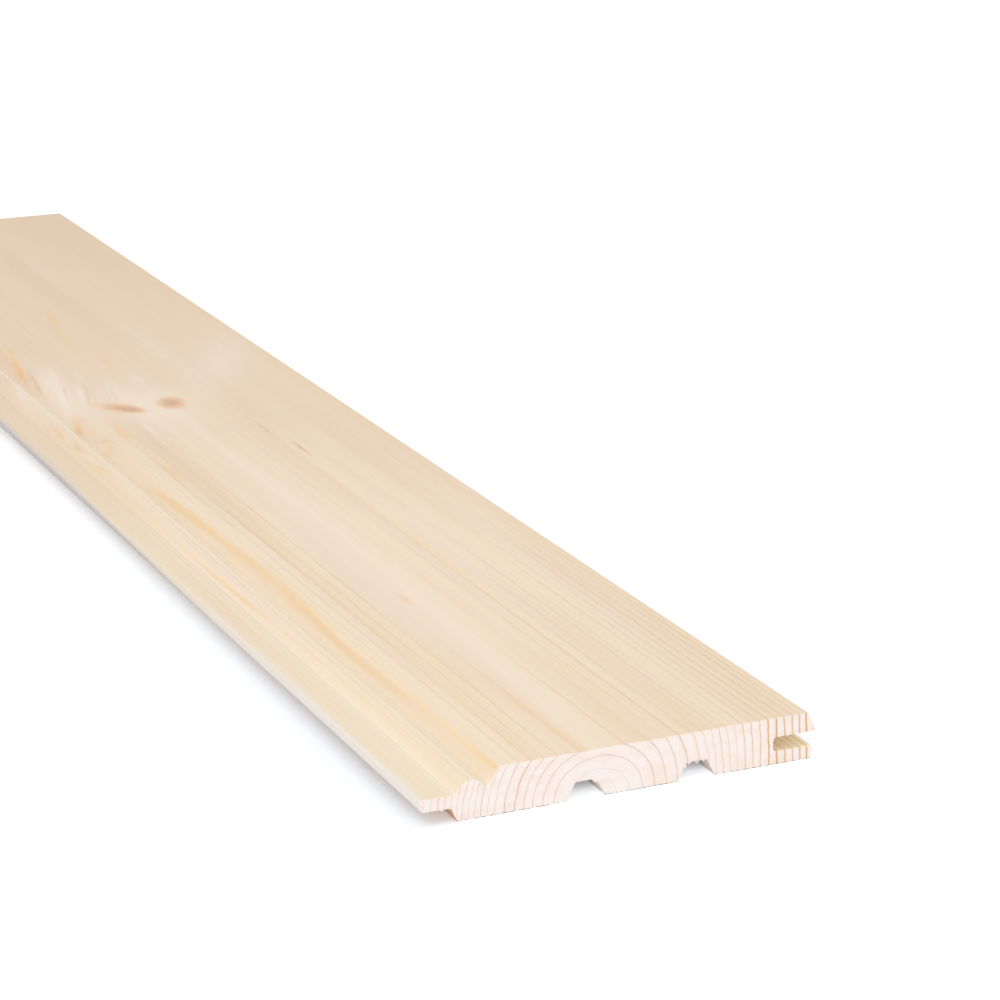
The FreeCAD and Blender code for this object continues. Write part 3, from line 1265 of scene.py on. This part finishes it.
        def on_lip(vertex: bmesh.types.BMVert) -> bool:
            """Say whether a vertex is at the upper edge of the back lip."""
            return root.x < vertex.co.x < tip.x and abs(vertex.co.z - root.z) < self.lip_edge

        Hands.pick(piece, "faces", lambda f: f.normal.y * end > self.end_on)
        bpy.ops.mesh.inset(thickness=self.arris, use_even_offset=True)
        Hands.pick(piece, "verts", lambda v: level(v, self.same_place) and not self.inner(v))
        bpy.ops.transform.translate(value=(0.0, -end * self.arris, 0.0))
        Hands.pick(piece, "verts", lambda v: level(v, self.same_place) and v.co.z < self.back_edge)
        bpy.ops.transform.translate(value=(0.0, 0.0, self.arris))
        Hands.pick(piece, "verts", lambda v: level(v, self.same_place) and on_lip(v))
        bpy.ops.transform.translate(value=(0.0, 0.0, -self.lip_tear))
        bpy.ops.transform.vertex_random(offset=self.lip_tear, seed=self.lip_seed + end)
        for reach, below in ((self.tear / 2, self.thickness), (self.tear, self.relief_depth)):
            Hands.pick(piece, "verts", lambda v: level(v, self.double) and v.co.z < below)
            bpy.ops.transform.vertex_random(offset=reach, seed=self.tear_seed + end)
            Hands.pick(piece, "verts", lambda v: level(v, self.end_slack) and self.inner(v))
            bpy.ops.transform.resize(value=(1.0, 0.0, 1.0), center_override=(0.0, plane, 0.0))

    def inner(self, vertex: bmesh.types.BMVert) -> bool:
        """Say whether a corner of a sawn end lies inside its arris."""
        wide = [face for face in vertex.link_faces if len(face.verts) > self.strip_corners]
        return bool(wide) and all(abs(face.normal.y) > self.end_on for face in wide)

    def sawn_face(self, face: bmesh.types.BMFace) -> bool:
        """Say whether a face is a sawn end's own, inside its arris."""
        return len(face.verts) > self.strip_corners and abs(face.normal.y) > self.end_on

    def build(self) -> bpy.types.Object:
        """Model the board.

        Returns:
            The board's object.
        """
        Hands.start()
        start = self.stand(self.corners()[0][0])
        bpy.ops.mesh.primitive_plane_add(size=self.start_size, location=start)
        piece = bpy.context.object
        piece.name = "board_stock"
        bpy.ops.object.transform_apply(location=True, rotation=True, scale=True)
        bpy.ops.object.mode_set(mode="EDIT")
        self.trace()
        self.round_off(piece)
        self.part_edges(piece)
        Hands.pick(piece, "faces", lambda f: True)
        Hands.stretch(Vector((0.0, self.length, 0.0)))
        bpy.ops.mesh.select_all(action="SELECT")
        bpy.ops.mesh.remove_doubles(threshold=self.seam)
        bpy.ops.mesh.normals_make_consistent(inside=False)
        self.tear_end(piece, -1)
        self.tear_end(piece, 1)
        bpy.ops.object.mode_set(mode="OBJECT")
        return piece

    def dress(self, piece: bpy.types.Object, planed: bpy.types.Material, sawn: bpy.types.Material) -> None:
        """Give the long sides the planed finish and both ends the sawn one.

        Args:
            piece: the board.
            planed: the finish of its long sides.
            sawn: the finish of its ends.
        """
        finishes = {Cut.PLANED: planed, Cut.SAWN: sawn}
        for cut in Cut:
            piece.data.materials.append(finishes[cut])
        bpy.ops.object.mode_set(mode="EDIT")
        Hands.pick(piece, "faces", lambda f: abs(f.normal.y) > self.end_on)
        piece.active_material_index = Cut.SAWN.value
        bpy.ops.object.material_slot_assign()
        bpy.ops.object.mode_set(mode="OBJECT")
        bpy.ops.object.shade_smooth_by_angle(angle=math.radians(self.smooth_deg))
        bpy.ops.object.mode_set(mode="EDIT")
        Hands.pick(piece, "edges", lambda e: any(self.sawn_face(face) for face in e.link_faces))
        bpy.ops.mesh.mark_sharp()
        bpy.ops.object.mode_set(mode="OBJECT")
        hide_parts("board")
        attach(piece, "root")


@dataclass(frozen=True)
class Tuft:
    """One bundle of fibres that the saw tore at an edge of the near end.

    Its root is at (x, z) in bench millimetres, and its bearing is in degrees from straight down,
    towards the groove. It is flattened to its depth, and its tip and raggedness are shares of its
    breadth.
    """

    x: float
    z: float
    length: float
    breadth: float
    bearing: float = 0.0

    depth: float = 0.0004
    flatness: float = 0.8
    sides: int = 7
    cuts: int = 2
    tip: float = 1 / 6
    raggedness: float = 1 / 9

    def build(self, stock: BoardStock, seed: int) -> bpy.types.Object:
        """Model the tuft: a flat ragged spike that is rooted a little inside the wood.

        Args:
            stock: the board that it hangs from.
            seed: the seed of its raggedness.

        Returns:
            The tuft's object.
        """
        length, breadth = self.length / PER_METRE, self.breadth / PER_METRE
        bearing = math.radians(self.bearing)
        hanging = Vector((math.sin(bearing), 0.0, -math.cos(bearing)))
        middle = stock.stand(Vector((self.x, self.z)) / PER_METRE) + hanging * length / 2
        middle += Vector((0.0, self.depth / 2, 0.0))
        Hands.start()
        bpy.ops.mesh.primitive_cone_add(
            vertices=self.sides, radius1=breadth / 2, radius2=breadth * self.tip, depth=length,
            location=middle, rotation=(0.0, math.pi - bearing, 0.0),
        )
        piece = bpy.context.object
        bpy.ops.object.transform_apply(location=True, rotation=True, scale=True)
        bpy.ops.object.mode_set(mode="EDIT")
        bpy.ops.mesh.select_all(action="SELECT")
        bpy.ops.mesh.subdivide(number_cuts=self.cuts)
        bpy.ops.transform.vertex_random(offset=breadth * self.raggedness, seed=seed)
        flat = self.flatness * self.depth / breadth
        bpy.ops.transform.resize(value=(1.0, flat, 1.0), center_override=tuple(middle))
        bpy.ops.mesh.normals_make_consistent(inside=False)
        bpy.ops.object.mode_set(mode="OBJECT")
        return piece


@dataclass(frozen=True)
class TornFibres:
    """The tufts that hang at the edges of the near end, as one piece."""

    tufts: tuple = (
        Tuft(6.5, 4.3, 0.7, 0.9, 10.0), Tuft(8.7, 4.3, 0.8, 0.5, 35.0), Tuft(9.3, 3.9, 0.7, 0.4, 60.0),
        Tuft(51.5, 5.5, 1.5, 1.3, 38.0), Tuft(52.3, 5.1, 1.3, 0.8, 18.0), Tuft(80.7, 5.5, 1.0, 1.3, 20.0),
        Tuft(79.7, 4.7, 1.2, 1.1, 15.0), Tuft(81.8, 5.5, 0.6, 0.6, -20.0), Tuft(83.2, 5.6, 1.0, 0.8, 5.0),
        Tuft(84.1, 5.5, 1.1, 0.6, -15.0), Tuft(85.2, 5.5, 0.7, 0.9, 25.0), Tuft(86.1, 5.4, 0.8, 0.5, -40.0),
        Tuft(109.6, 8.3, 0.5, 0.6, 30.0), Tuft(112.2, 8.4, 0.6, 0.7, 10.0),
        Tuft(114.0, 8.3, 0.45, 0.5, -15.0), Tuft(108.6, 3.5, 0.5, 0.7, 170.0),
        Tuft(111.4, 3.6, 0.45, 0.6, 190.0), Tuft(115.7, 3.6, 0.5, 0.5, 175.0),
    )
    smooth_deg: float = 50.0

    def build(self, stock: BoardStock, finish: bpy.types.Material) -> bpy.types.Object:
        """Model every tuft and join them.

        Args:
            stock: the board that they hang from.
            finish: their material.

        Returns:
            The joined piece.
        """
        pieces = [tuft.build(stock, seed) for seed, tuft in enumerate(self.tufts)]
        Hands.start()
        for piece in pieces:
            piece.select_set(True)
        bpy.context.view_layer.objects.active = pieces[0]
        bpy.ops.object.join()
        joined = bpy.context.object
        joined.name = "torn_fibres"
        bpy.ops.object.transform_apply(location=True, rotation=True, scale=True)
        joined.data.materials.append(finish)
        bpy.ops.object.shade_smooth_by_angle(angle=math.radians(self.smooth_deg))
        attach(joined, "root")
        return joined


@dataclass(frozen=True)
class Softbox:
    """A square soft lamp: its name, place, aim, the length of its sides, and its power in watts."""

    name: str
    place: tuple
    aim: tuple
    size: float
    power: float

    def build(self) -> bpy.types.Object:
        """Add the lamp.

        Returns:
            The lamp's object.
        """
        bpy.ops.object.light_add(type="AREA", location=self.place)
        lamp = bpy.context.object
        lamp.name = self.name
        lamp.data.size = self.size
        lamp.data.energy = self.power
        lamp.rotation_euler = (Vector(self.aim) - Vector(self.place)).to_track_quat("-Z", "Y").to_euler()
        return lamp


@dataclass
class Studio:
    """A white floor that keeps the board's shadow, a white surround and four soft lamps.

    The floor glows a little to the camera, so that it shows white outside the shadow. It glows less
    round the near end as painted shade, and more at the relief grooves' mouths as painted light.
    """

    floor_size: float = 16.0
    floor_parts: int = 8
    floor_tone: tuple = (235, 241, 248)
    glow_tint: tuple = (0.96, 0.98, 1.0, 1.0)
    floor_glow: float = 0.49
    # Less glow round the near end: a painted shade on the floor.
    pool_painted_shade: float = 0.22
    pool_middle: tuple = (0.0, -0.42, 0.0)
    pool_reach: tuple = (0.1, 0.55)
    # More glow at the relief grooves' mouths: a painted light in their shadow.
    mouth_painted_light: float = 0.27
    mouth_run: tuple = (-0.3445, -0.351)
    mouth_side: tuple = (-0.035, -0.025)
    white: tuple = (1.0, 1.0, 1.0, 1.0)
    fill: float = 0.735
    lamps: tuple = (
        Softbox("key_softbox", (-0.9, -0.7, 1.4), (0.0, -0.1, 0.0), 1.0, 5.0),
        Softbox("rim_softbox", (1.6, 0.0, 0.6), (0.0, -0.1, 0.0), 0.8, 4.3),
        Softbox("low_softbox", (-1.6, -1.6, 0.45), (0.0, -0.3, 0.0), 0.9, 7.5),
        Softbox("front_softbox", (0.3, -2.0, 0.5), (0.0, -0.35, 0.0), 0.9, 5.2),
    )

    def white_to_eye(self, sheet: Sheet) -> Socket:
        """Return 1 for what the camera sees straight, in a gloss or through glass, and 0 otherwise."""
        rays = sheet.add("LightPath").outputs
        mirrored = sheet.math("MAXIMUM", rays["Is Glossy Ray"], rays["Is Transmission Ray"])
        return sheet.math("MAXIMUM", rays["Is Camera Ray"], mirrored)

    def surround(self) -> None:
        """Make the world white to the camera and an even fill for the board."""
        world = bpy.data.worlds.new("studio_white")
        bpy.context.scene.world = world
        world.use_nodes = True
        sheet = Sheet(world.node_tree)
        strength = sheet.math("MULTIPLY_ADD", self.white_to_eye(sheet), 1.0 - self.fill, self.fill)
        sheet.give(world.node_tree.nodes["Background"], {"Color": self.white, "Strength": strength})

    def glow(self, sheet: Sheet) -> Socket:
        """Return how strongly each point of the floor glows, with painted shade and painted light in it.

        Args:
            sheet: the floor's nodes.

        Returns:
            The strength.
        """
        place = sheet.add("TexCoord").outputs["Object"]
        away = sheet.vector("DISTANCE", place, self.pool_middle)
        x, y, _ = sheet.split(place)
        # More glow under the near end's edge, at the relief grooves' mouths: painted light in their shadow.
        mouth = sheet.ramp(y, *self.mouth_run, 0.0, self.mouth_painted_light)
        return sheet.math(
            "ADD",
            # Glows less round the near end: painted shade on the floor there.
            sheet.ramp(away, *self.pool_reach, self.floor_glow - self.pool_painted_shade, self.floor_glow),
            sheet.product(mouth, sheet.ramp(x, *self.mouth_side)),
        )

    def floor(self) -> bpy.types.Object:
        """Lay the floor.

        Returns:
            The floor's object.
        """
        Hands.start()
        bpy.ops.mesh.primitive_grid_add(
            x_subdivisions=self.floor_parts, y_subdivisions=self.floor_parts, size=self.floor_size
        )
        floor = bpy.context.object
        floor.name = "floor"
        material = bpy.data.materials.new("floor_white")
        material.use_nodes = True
        sheet = Sheet(material.node_tree)
        sheet.give(material.node_tree.nodes["Principled BSDF"], {
            "Base Color": colour(*self.floor_tone),
            "Roughness": 1.0,
            "Specular IOR Level": 0.0,
            "Emission Color": self.glow_tint,
            "Emission Strength": sheet.product(self.white_to_eye(sheet), self.glow(sheet)),
        })
        floor.data.materials.append(material)
        return floor

    def build(self) -> None:
        """Set up the floor, the surround and the lamps."""
        bpy.context.scene.view_settings.view_transform = "Standard"
        self.surround()
        self.floor()
        for lamp in self.lamps:
            lamp.build()


def main() -> None:
    """Build the camera, the board and the studio, and report each piece."""
    logging.basicConfig(level=logging.INFO, format="%(name)s: %(message)s")
    Viewpoint().build()
    effects = Effects.make()
    stock = BoardStock()
    piece = stock.build()
    sawn = SawnWood().build(effects)
    stock.dress(piece, PlanedWood().build(effects), sawn)
    fibres = TornFibres().build(stock, sawn)
    for made in (piece, fibres):
        LOG.info("%s: %d vertices, %d faces", made.name, len(made.data.vertices), len(made.data.polygons))
    Studio().build()


if __name__ == "__main__":
    main()
